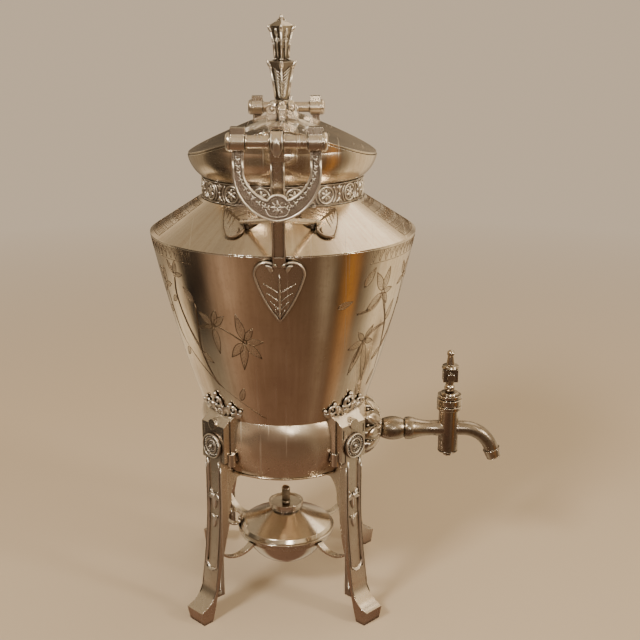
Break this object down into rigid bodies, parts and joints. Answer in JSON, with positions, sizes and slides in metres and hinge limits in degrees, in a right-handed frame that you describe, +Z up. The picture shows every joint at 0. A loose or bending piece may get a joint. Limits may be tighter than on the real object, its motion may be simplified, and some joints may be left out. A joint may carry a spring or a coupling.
{
  "type": "samovar",
  "caption": "Silver-plated hot-water urn on legs with a saddle-shaped lid and finial, drop handles, a spouted tap and a spirit lamp held beneath.",
  "frame": {"origin": "on the urn's vertical axis, level with the soles of the four feet", "axes": "+Z up, +X towards the tap, -Y towards the front handle"},
  "size_m": [0.2608, 0.2414, 0.4315],
  "materials": {
    "plate_shell": "polished silver plate with light tarnish and engraving",
    "plate_relief": "silver plate in low relief, dark in the recesses",
    "plate_cast": "cast silver plate, worn bright on the edges",
    "tap_metal": "silver plate, tarnished brown",
    "lamp_metal": "silver plate, satin and warm",
    "bare_brass": "bare brass",
    "seal": "plain leather",
    "wick_cotton": "charred cotton"
  },
  "bodies": {
    "urn": {"lower_bowl": "plate_shell", "base_ring": "plate_shell", "body_shell": "plate_shell", "shoulder": "plate_shell", "neck_band": "plate_relief", "mouth_collar": "plate_shell", "front_handle_post": "plate_cast", "front_heart_leaf": "plate_cast", "front_brace_leaf_a": "plate_cast", "front_brace_leaf_b": "plate_cast", "front_handle_bar": "plate_cast", "front_bar_caps": "plate_cast", "back_handle_post": "plate_cast", "back_heart_leaf": "plate_cast", "back_brace_leaf_a": "plate_cast", "back_brace_leaf_b": "plate_cast", "back_handle_bar": "plate_cast", "back_bar_caps": "plate_cast", "leg_1": "plate_cast", "knee_block_1": "plate_cast", "knee_roundel_1": "plate_relief", "knee_leaves_1": "plate_cast", "leg_2": "plate_cast", "knee_block_2": "plate_cast", "knee_roundel_2": "plate_relief", "knee_leaves_2": "plate_cast", "leg_3": "plate_cast", "knee_block_3": "plate_cast", "knee_roundel_3": "plate_relief", "knee_leaves_3": "plate_cast", "leg_4": "plate_cast", "knee_block_4": "plate_cast", "knee_roundel_4": "plate_relief", "knee_leaves_4": "plate_cast", "tap_escutcheon": "tap_metal", "tap_body": "tap_metal", "shank_nut": "bare_brass", "shank_washer": "seal", "carrier_ring": "plate_cast", "carrier_arms": "plate_cast"},
    "lid": {"lid_shell": "plate_shell", "lid_bezel": "plate_shell", "finial_base": "plate_cast", "finial": "plate_cast", "finial_washer": "bare_brass", "finial_nut": "bare_brass"},
    "front_drop_handle": {"front_bail": "plate_relief"},
    "back_drop_handle": {"back_bail": "plate_relief"},
    "tap_key": {"tap_plug": "tap_metal", "plug_washer": "tap_metal", "plug_nut": "tap_metal", "tap_handle": "tap_metal"},
    "lamp": {"lamp_reservoir": "lamp_metal", "lamp_cover": "lamp_metal", "burner": "lamp_metal", "wick": "wick_cotton", "lamp_handle": "lamp_metal"}
  },
  "joints": [
    {"name": "lid_lift", "type": "slide", "parent": "urn", "child": "lid", "axis": [0, 0, 1], "range_m": [0, 0.09]},
    {"name": "front_handle_swing", "type": "hinge", "parent": "urn", "child": "front_drop_handle", "pos_m": [0, -0.1142, 0.3589], "axis": [-1, 0, 0], "range_deg": [-8, 180]},
    {"name": "back_handle_swing", "type": "hinge", "parent": "urn", "child": "back_drop_handle", "pos_m": [0, 0.1142, 0.3589], "axis": [1, 0, 0], "range_deg": [-8, 180]},
    {"name": "tap_turn", "type": "hinge", "parent": "urn", "child": "tap_key", "pos_m": [0.1246, 0, 0.1277], "axis": [0, 0, 1], "range_deg": [0, 90]},
    {"name": "lamp_lift", "type": "slide", "parent": "urn", "child": "lamp", "axis": [0, 0, 1], "range_m": [0, 0.026]}
  ]
}
